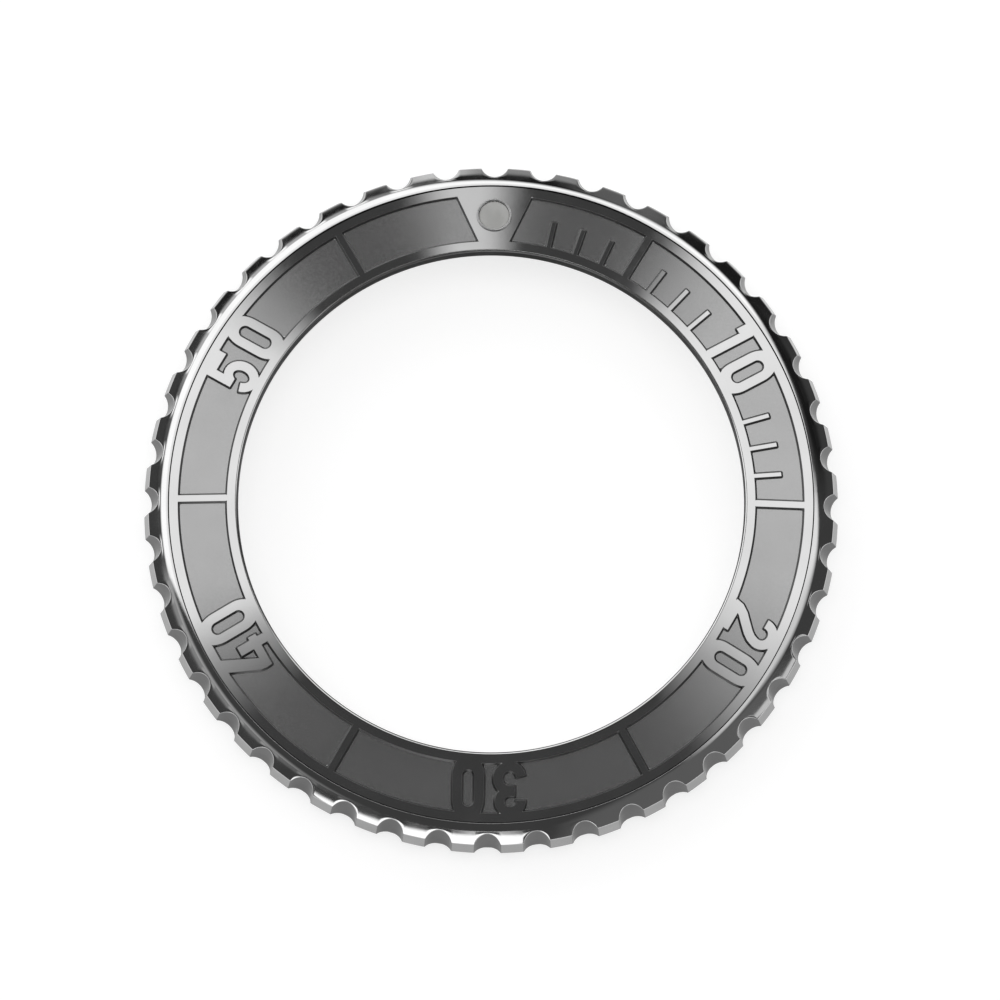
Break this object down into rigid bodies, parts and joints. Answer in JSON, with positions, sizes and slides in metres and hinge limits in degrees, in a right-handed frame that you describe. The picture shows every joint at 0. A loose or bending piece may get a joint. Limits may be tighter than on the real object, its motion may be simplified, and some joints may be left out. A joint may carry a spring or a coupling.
{
  "type": "rotating watch bezel",
  "caption": "Ring-shaped rotating timing bezel with a notched grip edge, sloping relief minute insert and luminous pip, on a bearing collar with a clicking ratchet.",
  "frame": {"origin": "centre of the bearing collar's underside", "axes": "+Z along the turning axis, up towards the wearer's eye; +Y towards 12 o'clock, +X towards 3 o'clock"},
  "size_m": [0.0406, 0.0406, 0.0046],
  "materials": {
    "polished_steel": "polished",
    "insert_steel": "polished relief on a fine blasted ground",
    "collar_steel": "turned",
    "spring_steel": "bright drawn",
    "hardened_steel": "ground",
    "pawl_brass": "machined",
    "washer_polymer": "smooth",
    "film_adhesive": "clear amber",
    "seal_rubber": "matte",
    "lume": "fine grained",
    "pip_glass": "polished"
  },
  "bodies": {
    "collar": {"bearing_collar": "collar_steel", "retaining_wire": "spring_steel", "slide_washer": "washer_polymer", "dust_seal": "seal_rubber", "case_gasket": "seal_rubber", "pawl_spring": "spring_steel", "ball_spring_1": "spring_steel", "ball_spring_2": "spring_steel", "ball_spring_3": "spring_steel"},
    "bezel": {"bezel_ring": "polished_steel", "ratchet_ring": "hardened_steel", "bezel_insert": "insert_steel", "insert_adhesive": "film_adhesive", "pip_cup": "polished_steel", "pip_lume": "lume", "pip_lens": "pip_glass"},
    "pawl": {"click_pawl": "pawl_brass"},
    "ball_1": {"detent_ball_1": "hardened_steel"},
    "ball_2": {"detent_ball_2": "hardened_steel"},
    "ball_3": {"detent_ball_3": "hardened_steel"}
  },
  "joints": [
    {"name": "bezel_turn", "type": "hinge", "parent": "collar", "child": "bezel", "pos_m": [0, 0, 0.0025], "axis": [0, 0, 1], "continuous": true},
    {"name": "pawl_slide", "type": "slide", "parent": "collar", "child": "pawl", "axis": [0, 0, -1], "range_m": [0, 0.00024], "stiffness_N_per_m": 800, "springref_m": -0.0004, "deforming": ["pawl_spring"]},
    {"name": "ball_1_slide", "type": "slide", "parent": "collar", "child": "ball_1", "axis": [0, 0, -1], "range_m": [0, 0.00016], "stiffness_N_per_m": 800, "springref_m": -0.0004, "deforming": ["ball_spring_1"]},
    {"name": "ball_2_slide", "type": "slide", "parent": "collar", "child": "ball_2", "axis": [0, 0, -1], "range_m": [0, 0.00016], "stiffness_N_per_m": 800, "springref_m": -0.0004, "deforming": ["ball_spring_2"]},
    {"name": "ball_3_slide", "type": "slide", "parent": "collar", "child": "ball_3", "axis": [0, 0, -1], "range_m": [0, 0.00016], "stiffness_N_per_m": 800, "springref_m": -0.0004, "deforming": ["ball_spring_3"]}
  ]
}
